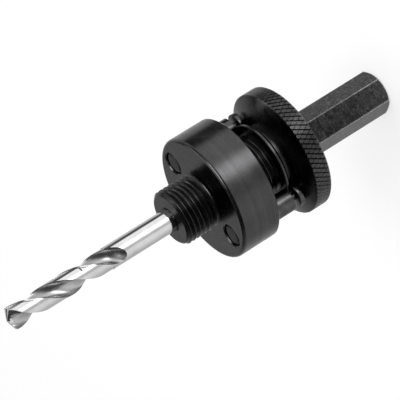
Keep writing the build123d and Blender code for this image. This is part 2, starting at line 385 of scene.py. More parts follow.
@dataclass
class ScrewThread:
    """A right-hand thread with straight flanks and narrow flats."""

    crest_radius: float
    pitch: float
    root_height: float          # height of one thread root at root_angle
    root_angle: float           # degrees from the X axis
    depth_share: float = 0.6134     # this and the next two are shares of the pitch
    flat_share: float = 0.08
    ease_share: float = 0.045
    spare_turns: int = 2        # turns made past each end, which are cut off

    @property
    def root_radius(self) -> float:
        """Radius at the bottom of the thread."""
        return self.crest_radius - self.depth_share * self.pitch

    def profile(self) -> Outline:
        """One pitch of the thread as (radius, height), from root to root.

        Returns:
            The corners, starting in the middle of a root at height 0.
        """
        root, crest, pitch = self.root_radius, self.crest_radius, self.pitch
        flank = (1 - 2 * self.flat_share) / 2 * pitch
        half_flat = self.flat_share * pitch / 2
        ease = self.ease_share * pitch
        root_rise, flank_end, crest_start = ease * 0.35, ease * 0.5, ease * 0.3
        return [
            (root, 0.0),
            (root + root_rise, half_flat),
            (crest - ease, half_flat + flank - flank_end),
            (crest, half_flat + flank + crest_start),
            (crest, pitch - half_flat - flank - crest_start),
            (crest - ease, pitch - half_flat - flank + flank_end),
            (root + root_rise, pitch - half_flat),
            (root, pitch),
        ]

    def rod(self, name: str, low: float, high: float) -> Piece:
        """A threaded rod, flat at both ends.

        Args:
            name: Name of the rod.
            low: Height of its lower end.
            high: Height of its upper end.

        Returns:
            The rod as one closed solid.
        """
        turns_below = math.ceil((self.root_height - low) / self.pitch) + self.spare_turns
        first = self.root_height - turns_below * self.pitch
        turns = math.ceil((high - first) / self.pitch) + self.spare_turns
        corners = [(r, z + first) for r, z in self.profile()]
        rod = start_point(name, (corners[0][0] * MM, 0, corners[0][1] * MM))
        for (near, low_z), (far, high_z) in zip(corners, corners[1:]):
            extrude((far - near) * MM, (high_z - low_z) * MM)
        close_mesh()
        apply_modifier(
            rod, "thread", "SCREW", axis="Z", angle=math.tau, screw_offset=self.pitch * MM,
            iterations=turns, steps=THREAD_STEPS, render_steps=THREAD_STEPS,
        )
        clean_shell(rod)
        open_mesh(rod)
        swing(self.root_angle)
        close_mesh()
        cut_to_length(rod, low, high)
        return rod


# Effects shared by the finishes


class NodeBoard:
    """Adds and joins shader nodes in one tree."""

    def __init__(self, tree: bpy.types.NodeTree) -> None:
        """Keeps the tree.

        Args:
            tree: The node tree of a material, world or group.
        """
        self.tree = tree

    @classmethod
    def clear(cls, owner: bpy.types.Material | bpy.types.World) -> "NodeBoard":
        """Clears a material or world and opens a board on it.

        Args:
            owner: The material or world.

        Returns:
            Its board.
        """
        owner.use_nodes = True
        owner.node_tree.nodes.clear()
        return cls(owner.node_tree)

    def add(self, kind: str, **values: object) -> bpy.types.Node:
        """Adds a node.

        Args:
            kind: Blender's name of the node type.
            values: Properties to set on it.

        Returns:
            The new node.
        """
        node = self.tree.nodes.new(kind)
        for name, value in values.items():
            setattr(node, name, value)
        return node

    def link(self, start: Socket, end: Socket) -> None:
        """Joins two sockets."""
        self.tree.links.new(start, end)

    def feed(self, socket: Socket, value: object) -> None:
        """Links a socket to another, or sets its value.

        Args:
            socket: The input.
            value: A socket, number, vector or colour.
        """
        if isinstance(value, Socket):
            self.link(value, socket)
        else:
            socket.default_value = value

    def fill(self, node: bpy.types.Node, **inputs: object) -> bpy.types.Node:
        """Feeds a node's inputs by name.

        Args:
            node: The node.
            inputs: Its inputs, with underscores for spaces.

        Returns:
            The same node.
        """
        for name, value in inputs.items():
            self.feed(node.inputs[name.replace("_", " ")], value)
        return node

    def shader(self, kind: str, **inputs: object) -> Socket:
        """Adds a shader and feeds its inputs.

        Args:
            kind: Blender's name of the shader node.
            inputs: Its inputs, with underscores for spaces.

        Returns:
            Its output.
        """
        return self.fill(self.add(kind), **inputs).outputs[0]

    def mix(self, share: object, first: Socket, second: Socket) -> Socket:
        """Mixes two shaders.

        Args:
            share: 0 for the first, 1 for the second.
            first: First shader.
            second: Second shader.

        Returns:
            The mixed shader.
        """
        node = self.add("ShaderNodeMixShader")
        for socket, value in zip(node.inputs, (share, first, second)):
            self.feed(socket, value)
        return node.outputs[0]

    def show(self, shader: Socket, kind: str = "ShaderNodeOutputMaterial") -> None:
        """Joins a shader to the tree's output, which it adds."""
        self.link(shader, self.add(kind).inputs["Surface"])

    def math(self, operation: str, *inputs: object, clamp: bool = False) -> Socket:
        """A Math node.

        Args:
            operation: Its operation.
            inputs: Sockets or numbers, in order.
            clamp: True to keep the result from 0 to 1.

        Returns:
            Its output.
        """
        node = self.add("ShaderNodeMath", operation=operation, use_clamp=clamp)
        for socket, value in zip(node.inputs, inputs):
            self.feed(socket, value)
        return node.outputs[0]

    def spread(self, value: object, low: float, high: float, start: float = 0.0,
               end: float = 1.0) -> Socket:
        """Maps a value range onto another, clamped.

        Args:
            value: The value to map.
            low: Value that becomes start.
            high: Value that becomes end.
            start: New low value.
            end: New high value.

        Returns:
            The mapped value.
        """
        node = self.add("ShaderNodeMapRange", clamp=True)
        self.fill(node, Value=value, From_Min=low, From_Max=high, To_Min=start, To_Max=end)
        return node.outputs["Result"]

    def noise(self, vector: Socket, scale: object, detail: float = 3.0,
              roughness: float = 0.5, distortion: float = 0.0) -> Socket:
        """A three-dimensional noise.

        Args:
            vector: Where it is read.
            scale: Its scale, per metre.
            detail: Its octaves.
            roughness: How much the fine octaves count.
            distortion: How far it is warped.

        Returns:
            Its value.
        """
        node = self.add("ShaderNodeTexNoise", noise_dimensions="3D")
        self.fill(
            node, Vector=vector, Scale=scale, Detail=detail, Roughness=roughness,
            Distortion=distortion,
        )
        return node.outputs["Fac"]

    def line_noise(self, position: Socket, scale: float) -> Socket:
        """A noise along one direction, for turned lines and bands.

        Args:
            position: The place along that direction.
            scale: Its scale, per metre.

        Returns:
            Its value.
        """
        node = self.add("ShaderNodeTexNoise", noise_dimensions="1D")
        self.fill(node, W=position, Scale=scale, Detail=2.0, Roughness=0.5)
        return node.outputs["Fac"]

    def blend(self, share: object, first: object, second: object) -> Socket:
        """Mixes two colours.

        Args:
            share: 0 for the first, 1 for the second.
            first: First colour.
            second: Second colour.

        Returns:
            The mixed colour.
        """
        node = self.add("ShaderNodeMix", data_type="RGBA", clamp_factor=True)
        for number, value in ((0, share), (6, first), (7, second)):
            self.feed(node.inputs[number], value)
        return node.outputs[2]

    def place(self) -> Socket:
        """The shaded point's place in the piece's own frame, in metres."""
        return self.add("ShaderNodeTexCoord").outputs["Object"]

    def split(self, vector: Socket) -> tuple[Socket, Socket, Socket]:
        """Takes a vector apart.

        Args:
            vector: The vector.

        Returns:
            Its X, Y and Z.
        """
        node = self.add("ShaderNodeSeparateXYZ")
        self.link(vector, node.inputs[0])
        return tuple(node.outputs)

    def reach(self, x: Socket, y: Socket) -> Socket:
        """Distance from the Z axis.

        Args:
            x: Place along X.
            y: Place along Y.

        Returns:
            The distance.
        """
        squares = self.math("ADD", self.math("MULTIPLY", x, x), self.math("MULTIPLY", y, y))
        return self.math("SQRT", squares)


def new_group(name: str, inputs: dict[str, float], outputs: list[str]) -> tuple[
        NodeBoard, bpy.types.NodeOutputs, bpy.types.Node]:
    """Starts a shader node group of number sockets.

    Args:
        name: Name of the group.
        inputs: Input names with their default numbers.
        outputs: Output names.

    Returns:
        The group's board, the sockets that give its inputs, and its output node.
    """
    tree = bpy.data.node_groups.new(name, "ShaderNodeTree")
    for title, number in inputs.items():
        socket = tree.interface.new_socket(title, in_out="INPUT", socket_type="NodeSocketFloat")
        socket.default_value = number
    for title in outputs:
        tree.interface.new_socket(title, in_out="OUTPUT", socket_type="NodeSocketFloat")
    board = NodeBoard(tree)
    return board, board.add("NodeGroupInput").outputs, board.add("NodeGroupOutput")


def turning_lines_group() -> bpy.types.NodeTree:
    """Fine lines that a lathe leaves round the arbor's axis, on sides and faces alike.

    Returns:
        A group that gives a line height and a slow band value.
    """
    board, given, result = new_group(
        "turning_lines", {"Lines per metre": 3000.0, "Unevenness": 0.3}, ["Height", "Bands"]
    )
    place = board.place()
    x, y, z = board.split(place)
    along = board.math("ADD", board.reach(x, y), z)
    wander = board.noise(place, scale=500.0, detail=2.0)
    uneven = board.math("MULTIPLY", wander, given["Unevenness"])
    turns = board.math("MULTIPLY", along, given["Lines per metre"])
    phase = board.math("MULTIPLY", board.math("ADD", turns, uneven), math.tau)
    feed = board.math("MULTIPLY_ADD", board.math("SINE", phase), 0.5, 0.5)
    grain = board.line_noise(along, scale=5200.0)
    height = board.math("MULTIPLY", feed, board.spread(grain, 0.3, 0.6, start=0.35))
    board.fill(result, Height=height, Bands=board.line_noise(along, scale=420.0))
    return board.tree


def mottle_group() -> bpy.types.NodeTree:
    """Cloudy tone, small specks and hairline scratches of handled, blackened steel.

    Returns:
        A group that gives clouds, specks and scratches.
    """
    board, given, result = new_group(
        "mottle", {"Cloud scale": 260.0, "Speck scale": 2600.0}, ["Clouds", "Specks", "Scratches"]
    )
    place = board.place()
    clouds = board.noise(place, given["Cloud scale"], detail=5.0, roughness=0.6)
    speck = board.noise(place, given["Speck scale"], detail=2.0, roughness=0.7)
    stretched = board.fill(
        board.add("ShaderNodeMapping"), Vector=place, Rotation=(0.4, 0.9, 0.2),
        Scale=(1.0, 14.0, 14.0),
    )
    hair = board.noise(stretched.outputs[0], scale=95.0, detail=2.0, distortion=0.4)
    near_line = board.math("ABSOLUTE", board.math("SUBTRACT", hair, 0.5))
    board.fill(
        result, Clouds=clouds, Specks=board.spread(speck, 0.62, 0.74),
        Scratches=board.spread(near_line, 0.0, 0.012, start=1.0, end=0.0),
    )
    return board.tree


def edge_wear_and_glint_group() -> bpy.types.NodeTree:
    """Edges where the dark skin has rubbed thin; on the shank and the nut the same mask also paints a
    highlight along the edges.

    Returns:
        A group that gives a mask, 1 on a rubbed edge and on an edge with a painted highlight.
    """
    board, given, result = new_group("edge_wear_and_glint", {"Reach": 0.00018, "Patchiness": 0.5}, ["Mask"])
    rounded = board.fill(board.add("ShaderNodeBevel", samples=4), Radius=given["Reach"])
    likeness = board.add("ShaderNodeVectorMath", operation="DOT_PRODUCT")
    board.link(rounded.outputs[0], likeness.inputs[0])
    board.link(board.add("ShaderNodeNewGeometry").outputs["Normal"], likeness.inputs[1])
    edge = board.spread(board.math("SUBTRACT", 1.0, likeness.outputs["Value"]), 0.015, 0.16)
    patches = board.spread(
        board.noise(board.place(), scale=700.0, roughness=0.6), low=0.35, high=0.62
    )
    bare = board.math("MULTIPLY", given["Patchiness"], board.math("SUBTRACT", 1.0, patches))
    kept = board.math("SUBTRACT", 1.0, bare)
    board.fill(result, Mask=board.math("MULTIPLY", edge, kept, clamp=True))
    return board.tree


def land_nick_group() -> bpy.types.NodeTree:
    """A short nick knocked across one land of the drill.

    Returns:
        A group that gives a mask, 1 in the nick.
    """
    board, given, result = new_group("land_nick", {"Height": 0.0994, "Angle": 1.68}, ["Mask"])
    x, y, z = board.split(board.place())
    round_it = board.math("SUBTRACT", board.math("ARCTAN2", y, x), given["Angle"])
    above = board.math("SUBTRACT", z, given["Height"])
    slant = board.math("SUBTRACT", above, board.math("MULTIPLY", round_it, 0.0003))
    across = board.spread(board.math("ABSOLUTE", slant), 0.00012, 0.0002, start=1.0, end=0.0)
    length = board.spread(board.math("ABSOLUTE", round_it), 0.22, 0.3, start=1.0, end=0.0)
    board.fill(result, Mask=board.math("MULTIPLY", across, length))
    return board.tree


GROUP_MAKERS = {
    "land_nick": land_nick_group,
    "turning_lines": turning_lines_group,
    "mottle": mottle_group,
    "edge_wear_and_glint": edge_wear_and_glint_group,
}


def place_group(board: NodeBoard, name: str, **values: float) -> bpy.types.Node:
    """Puts a shared effect into a material.

    Args:
        board: The material's board.
        name: Which effect.
        values: Its inputs, with underscores for spaces.

    Returns:
        The group node.
    """
    tree = bpy.data.node_groups.get(name) or GROUP_MAKERS[name]()
    return board.fill(board.add("ShaderNodeGroup", node_tree=tree), **values)


# Finishes


@dataclass(frozen=True)
class SteelFinish:
    """Turned or ground steel, blackened or bright."""

    name: str
    tone: tuple[float, float, float]
    deep_tone: tuple[float, float, float]
    # tone of rubbed skin, also used for bands, lines and painted edge highlights
    worn_and_glint_tone: tuple[float, float, float]
    roughness: float
    rough_spread: float = 0.08      # how far the clouds move the roughness either way
    speck_roughness: float = 0.08
    # how strongly edges are painted light: rubbed steel, and on the shank and nut also a painted
    # highlight
    wear_and_glint: float = 0.5
    wear_and_glint_reach: float = 0.00018     # metres from an edge, for rubbed edges and painted edge highlights
    scratch_share: float = 0.25     # how much of the wear a scratch shows
    lines_per_metre: float = 3000.0
    line_depth: float = 0.25        # shares of the relief
    pit_depth: float = 0.1
    relief: float = 0.00002         # metres
    cloud_scale: float = 260.0      # per metre
    brushed: float = 0.0
    banded: float = 0.11
    lined: float = 0.0
    nicked: bool = False
    nick_tone: tuple[float, float, float] = (0.02, 0.02, 0.02)

    def colour(self, board: NodeBoard, lines: bpy.types.Node, mottle: bpy.types.Node) -> Socket:
        """The skin's tone with its clouds, bands, lines, rubbed edges and painted edge highlights,
        scratches and nick.

        Args:
            board: The material's board.
            lines: The turned lines.
            mottle: The clouds, specks and scratches.

        Returns:
            The colour.
        """
        worn_and_glint = (*self.worn_and_glint_tone, 1)
        clouds = board.spread(mottle.outputs["Clouds"], low=0.35, high=0.65)
        tone = board.blend(clouds, (*self.deep_tone, 1), (*self.tone, 1))
        bands = board.spread(lines.outputs["Bands"], low=0.4, high=0.75, end=self.banded)
        tone = board.blend(bands, tone, worn_and_glint)
        if self.lined:
            crests = board.math("MULTIPLY", lines.outputs["Height"], self.lined)
            tone = board.blend(crests, tone, worn_and_glint)
        edges = place_group(board, "edge_wear_and_glint", Reach=self.wear_and_glint_reach).outputs["Mask"]
        # light edges: rubbed skin, and on the shank and nut also a painted highlight
        rubbed_and_glint = board.math("MULTIPLY", edges, self.wear_and_glint)
        scraped = board.math(
            "MULTIPLY", mottle.outputs["Scratches"], self.wear_and_glint * self.scratch_share
        )
        tone = board.blend(board.math("MAXIMUM", rubbed_and_glint, scraped), tone, worn_and_glint)
        if self.nicked:
            nick = place_group(board, "land_nick").outputs["Mask"]
            tone = board.blend(nick, tone, (*self.nick_tone, 1))
        return tone

    def material(self) -> bpy.types.Material:
        """Builds the finish.

        Returns:
            The material.
        """
        made = bpy.data.materials.new(self.name)
        board = NodeBoard.clear(made)
        lines = place_group(board, "turning_lines", Lines_per_metre=self.lines_per_metre)
        mottle = place_group(board, "mottle", Cloud_scale=self.cloud_scale)
        specks = mottle.outputs["Specks"]
        cloudy = board.spread(
            mottle.outputs["Clouds"], low=0.3, high=0.7,
            start=self.roughness - self.rough_spread, end=self.roughness + self.rough_spread,
        )
        dull = board.math("MULTIPLY", specks, self.speck_roughness)
        height = board.math(
            "SUBTRACT",
            board.math("MULTIPLY", lines.outputs["Height"], self.line_depth),
            board.math("MULTIPLY", specks, self.pit_depth),
        )
        bump = board.add("ShaderNodeBump")
        board.fill(bump, Strength=1.0, Distance=self.relief, Height=height)
        steel = board.add("ShaderNodeBsdfPrincipled")
        board.fill(
            steel, Metallic=1.0, Base_Color=self.colour(board, lines, mottle),
            Roughness=board.math("ADD", cloudy, dull), Normal=bump.outputs[0],
        )
        if self.brushed:
            grain = board.add("ShaderNodeTangent", direction_type="RADIAL", axis="Z")
            board.fill(steel, Anisotropic=self.brushed, Tangent=grain.outputs[0])
        board.show(steel.outputs[0])
        return made


BODY_STEEL = SteelFinish(
    "blackened_turned_steel", (0.053, 0.053, 0.054), (0.041, 0.041, 0.042), (0.2, 0.2, 0.205),
    roughness=0.22, brushed=0.35, wear_and_glint=0.12, line_depth=0.7, lines_per_metre=1700.0, lined=0.2,
)
# The shank's edges: a very light tone over a wide reach, partly rubbed steel and partly a painted
# highlight along the hex corners.
SHANK_STEEL = SteelFinish(
    "blackened_drawn_steel", (0.06, 0.06, 0.061), (0.028, 0.028, 0.029), (0.8, 0.8, 0.805),
    roughness=0.24, rough_spread=0.1, wear_and_glint=0.95, line_depth=0.0, cloud_scale=620.0, banded=0.0,
    wear_and_glint_reach=0.0005,
)
# The nut's edges: full edge tone, partly rubbed steel and partly painted highlights on the knurl
# crests.
NUT_STEEL = SteelFinish(
    "blackened_knurled_steel", (0.053, 0.053, 0.054), (0.037, 0.037, 0.038), (0.24, 0.24, 0.245),
    roughness=0.24, wear_and_glint=1.0, wear_and_glint_reach=0.00016, line_depth=0.12, lines_per_metre=2700.0,
)
PIN_STEEL = SteelFinish(
    "drive_pin_steel", (0.085, 0.085, 0.087), (0.055, 0.055, 0.057), (0.3, 0.3, 0.305),
    roughness=0.2, wear_and_glint=0.25, line_depth=0.03,
)
# The pins' recessed front ends: a darker copy of the pin steel, painted shade of the holes that they
# sit in.
PIN_END_PAINTED_SHADE = SteelFinish(
    "drive_pin_end_painted_shade", (0.024, 0.024, 0.025), (0.014, 0.014, 0.015), (0.07, 0.07, 0.072),
    roughness=0.3, wear_and_glint=0.1, line_depth=0.03,
)
DRILL_STEEL = SteelFinish(
    "bright_ground_steel", (0.66, 0.66, 0.665), (0.58, 0.58, 0.587), (0.82, 0.82, 0.83),
    roughness=0.08, rough_spread=0.03, wear_and_glint=0.2, line_depth=0.012, pit_depth=0.02,
    lines_per_metre=5200.0, banded=0.05, nicked=True,
)
# Milled flute steel: rougher than the lands, and darker, which is painted shade in the hollow flutes.
FLUTE_STEEL_AND_SHADE = SteelFinish(
    "milled_flute_steel_and_shade", (0.5, 0.5, 0.505), (0.4, 0.4, 0.406), (0.68, 0.68, 0.69),
    roughness=0.26, rough_spread=0.04, wear_and_glint=0.3, line_depth=0.05, pit_depth=0.05,
    lines_per_metre=3800.0, banded=0.075,
)
SCREW_STEEL = SteelFinish(
    "grub_screw_steel", (0.055, 0.055, 0.057), (0.035, 0.035, 0.037), (0.2, 0.2, 0.205),
    roughness=0.34, wear_and_glint=0.5, line_depth=0.03,
)


def finish_of(finish: SteelFinish) -> bpy.types.Material:
    """The finish's material, made once.

    Args:
        finish: The finish.

    Returns:
        Its material.
    """
    return bpy.data.materials.get(finish.name) or finish.material()


def dress(piece: Piece, finish: SteelFinish, second: SteelFinish | None = None) -> None:
    """Gives a piece one finish all over, and may keep a second one ready for some faces.

    Args:
        piece: The piece.
        finish: Its finish.
        second: A finish for faces that are picked later.
    """
    piece.data.materials.clear()
    piece.data.materials.append(finish_of(finish))
    if second:
        piece.data.materials.append(finish_of(second))


def mount_on(piece: Piece, body: Body, node: str) -> None:
    """Lets a piece stand for a CAD node and ride on its body.

    Args:
        piece: The finished piece.
        body: The body that it moves with.
        node: The CAD node that it replaces.
    """
    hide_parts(node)
    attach(piece, body.value)
    log.info("%s: %d faces on body %s", piece.name, len(piece.data.polygons), body.value)


# The arbor's pieces


@dataclass
class ArborBody:
    """The one-piece body: hexagonal shank, threaded hub, drum and threaded nose."""

    across_flats: float = 11.11
    hex_corner_angle: float = 34.5
    hex_edge_break: float = 0.22
    shank_end_chamfer: float = 0.9
    shank_end_step: float = 0.255
    shank_end_slope: float = 1.6        # outward per upward length
    shank_end_edge: tuple[float, float] = (0.12, 0.07)
    shank_end_ease: float = 0.05
    shank_lap: float = 2.0              # how far the bar runs on inside the hub
    hub_rear: float = 32.0
    hub_chamfer: float = 0.9
    hub_radius: float = 8.75
    hub_relief_radius: float = 7.85
    hub_relief_length: float = 1.0
    hub_root_break: float = 0.25
    drum_back: float = 47.9
    drum_front: float = 59.8
    drum_radius: float = 17.8
    drum_sides: int = 256
    drum_front_round: float = 0.9
    drum_back_break: float = 0.3
    nose_radius: float = 7.9375
    nose_relief_radius: float = 7.0975
    nose_relief_length: float = 1.5
    nose_root_round: float = 0.9
    nose_front: float = 70.4
    nose_chamfer_length: float = 0.75
    nose_chamfer_depth: float = 0.95
    bore_radius: float = 3.195
    bore_bottom: float = 39.2
    bore_chamfer: float = 0.5
    bore_tip_radius: float = 0.2
    bore_tip_half_angle: float = 59.0
    pin_circle_radius: float = 12.7
    pin_hole_radius: float = 3.25
    pin_hole_chamfer: float = 0.3
    screw_hole_radius: float = 3.02
    screw_height: float = 53.85
    screw_hole_chamfer: float = 0.8
    screw_hole_start: float = 1.0       # distance of its inner end from the axis
    screw_mouth_depth: float = 0.2      # how far its mouth lies inside the drum's radius
    bore_sides: int = 96
    hole_sides: int = 64
    seam_tolerance: float = 0.01
    crest_gap: float = 0.06         # room between crests and the envelope that trims them
    run_out_depth: float = 0.3      # how far a run-out reaches below its relief
    nose_rod_lap: float = 1.2       # how far each threaded rod runs on inside the drum
    hub_rod_lap: float = 1.0
    stub_length: float = 2.2        # the drum's stubs, which lie inside the threaded rods
    stub_end: float = 2.6
    hub_stub_taper: float = 1.2
    nose_stub_taper: float = 1.0
    nose_thread: ScrewThread = field(
        default_factory=lambda: ScrewThread(7.9375, 25.4 / 18, 66.0, 81.4)
    )
    hub_thread: ScrewThread = field(
        default_factory=lambda: ScrewThread(8.75, 25.4 / 18, 42.6, 81.4)
    )

    def shank(self) -> Piece:
        """The hexagonal bar with its corners broken and its end turned to a cone.

        Returns:
            The bar.
        """
        deselect_all()
        corner = self.across_flats / math.cos(math.radians(HEX_HALF_ANGLE)) / 2
        top = self.hub_rear + self.shank_lap
        bpy.ops.mesh.primitive_cylinder_add(
            vertices=6, radius=corner * MM, depth=top * MM, location=(0, 0, top / 2 * MM),
            rotation=(0, 0, math.radians(self.hex_corner_angle - HEX_HALF_ANGLE)),
        )
        bar = named("shank_bar")
        settle(bar)
        open_mesh(bar)
        bpy.ops.mesh.select_all(action="DESELECT")
        shape = bmesh.from_edit_mesh(bar.data)
        for edge in shape.edges:
            edge.select = abs(edge.verts[0].co.z - edge.verts[1].co.z) > MM
        shape.select_flush(True)
        bmesh.update_edit_mesh(bar.data)
        bpy.ops.mesh.bevel(
            offset=self.hex_edge_break * MM, segments=3, affect="EDGES", offset_type="OFFSET"
        )
        close_mesh()
        end = self.across_flats / 2 - self.shank_end_step
        wide = end + self.shank_end_chamfer * self.shank_end_slope
        edge_depth, edge_height = self.shank_end_edge
        cone = turn("shank_end_cone", [
            (end - edge_depth, 0),
            (end, edge_height),
            (wide, self.shank_end_chamfer + self.shank_end_ease),
            (wide, top - SHORT_LAP),
        ])
        combine(bar, cone, Cut.TRIM)
        return bar

    def threaded_nose(self) -> Piece:
        """The nose thread between its relief and its chamfered face.

        Returns:
            The threaded rod, trimmed to its envelope.
        """
        start = self.drum_front + self.nose_relief_length
        half_step = (self.nose_radius - self.nose_relief_radius) / 2
        crest = self.nose_radius + self.crest_gap
        end = self.nose_radius - self.nose_chamfer_depth
        rod = self.nose_thread.rod("nose_rod", start - self.nose_rod_lap, self.nose_front)
        envelope = turn("nose_envelope", [
            (self.nose_relief_radius - self.run_out_depth, start - half_step - self.run_out_depth / 2),
            (crest, start + self.crest_gap / 2),
            (crest, self.nose_front - self.nose_chamfer_length - self.crest_gap),
            (end, self.nose_front),
            (end, self.nose_front + LAP),
        ])
        combine(rod, envelope, Cut.TRIM)
        return rod

    def threaded_hub(self) -> Piece:
        """The hub thread between the shank and the relief behind the drum.

        Returns:
            The threaded rod, trimmed to its envelope.
        """
        end = self.drum_back - self.hub_relief_length
        half_step = (self.hub_radius - self.hub_relief_radius) / 2
        crest = self.hub_radius + self.crest_gap
        small = self.hub_radius - self.hub_chamfer
        rod = self.hub_thread.rod("hub_rod", self.hub_rear, end + self.hub_rod_lap)
        envelope = turn("hub_envelope", [
            (small, self.hub_rear - SHORT_LAP),
            (small, self.hub_rear),
            (crest, self.hub_rear + self.hub_chamfer + self.crest_gap),
            (crest, end - half_step - self.crest_gap / 2),
            (self.hub_relief_radius - self.run_out_depth, end + self.run_out_depth / 2),
        ])
        combine(rod, envelope, Cut.TRIM)
        return rod

    def drum(self) -> Piece:
        """The drum with the plain reliefs in front of and behind it.

        Returns:
            The drum, to which the other parts are welded.
        """
        root = self.nose_relief_radius + self.nose_root_round
        rim = self.drum_radius - self.drum_front_round
        outline: Outline = [
            (self.hub_relief_radius - self.hub_stub_taper, self.drum_back - self.stub_end),
            (self.hub_relief_radius, self.drum_back - self.stub_length),
            (self.hub_relief_radius, self.drum_back - self.hub_root_break),
            (self.hub_relief_radius + self.hub_root_break, self.drum_back),
            (self.drum_radius - self.drum_back_break, self.drum_back),
            (self.drum_radius, self.drum_back + self.drum_back_break),
        ]
        outline += arc(
            (rim, self.drum_front - self.drum_front_round), self.drum_front_round, 0, 90, 8
        )
        outline += arc((root, self.drum_front + self.nose_root_round), self.nose_root_round, 270, 180)
        outline += [
            (self.nose_relief_radius, self.drum_front + self.stub_length),
            (self.nose_relief_radius - self.nose_stub_taper, self.drum_front + self.stub_end),
        ]
        return turn("arbor_body_steel", outline, self.drum_sides)

    def hole_tool(self, radius: float, low: float, mouth: float, chamfer: float) -> Piece:
        """A cutter for a round hole with a chamfered mouth.

        Args:
            radius: Radius of the hole.
            low: Height of its lower end.
            mouth: Height of its mouth.
            chamfer: Size of the mouth's chamfer.

        Returns:
            The cutter, standing on the Z axis.
        """
        return turn("hole_tool", [
            (radius, low), (radius, mouth - chamfer),
            (radius + chamfer, mouth), (radius + chamfer * 2, mouth + chamfer),
        ], self.hole_sides)

    def bore_holes(self, body: Piece) -> None:
        """Bores the drill's hole, the two pin holes and the grub screw's hole.

        Args:
            body: The body.
        """
        tip_height = self.bore_radius / math.tan(math.radians(self.bore_tip_half_angle))
        bore = turn("bore_tool", [
            (self.bore_tip_radius, self.bore_bottom - tip_height),
            (self.bore_radius, self.bore_bottom),
            (self.bore_radius, self.nose_front - self.bore_chamfer),
            (self.bore_radius + self.bore_chamfer, self.nose_front),
            (self.bore_radius + 2 * self.bore_chamfer, self.nose_front + self.bore_chamfer),
        ], self.bore_sides)
        combine(body, bore, Cut.BORE)
        for side in (1, -1):
            tool = self.hole_tool(
                self.pin_hole_radius, self.drum_back - LAP, self.drum_front, self.pin_hole_chamfer
            )
            place = Matrix.Translation((side * self.pin_circle_radius * MM, 0, 0))
            combine(body, shift_and_turn(tool, place), Cut.BORE)
        mouth = self.drum_radius - self.screw_mouth_depth
        tool = self.hole_tool(
            self.screw_hole_radius, self.screw_hole_start, mouth, self.screw_hole_chamfer
        )
        height = Matrix.Translation((0, 0, self.screw_height * MM))
        place = height @ Matrix.Rotation(math.radians(90), 4, "X")
        combine(body, shift_and_turn(tool, place), Cut.BORE)

    def build(self) -> Piece:
        """Joins the parts of the body, drills it and dresses it.

        Returns:
            The finished body.
        """
        body = self.drum()
        for part in (self.threaded_nose(), self.threaded_hub(), self.shank()):
            combine(body, part, Cut.WELD)
        self.bore_holes(body)
        clean_shell(body)
        smooth(body)
        dress(body, BODY_STEEL, SHANK_STEEL)
        for face in body.data.polygons:
            if face.center.z < (self.hub_rear - self.seam_tolerance) * MM:
                face.material_index = 1
        mount_on(body, Body.ARBOR, "arbor_body")
        return body


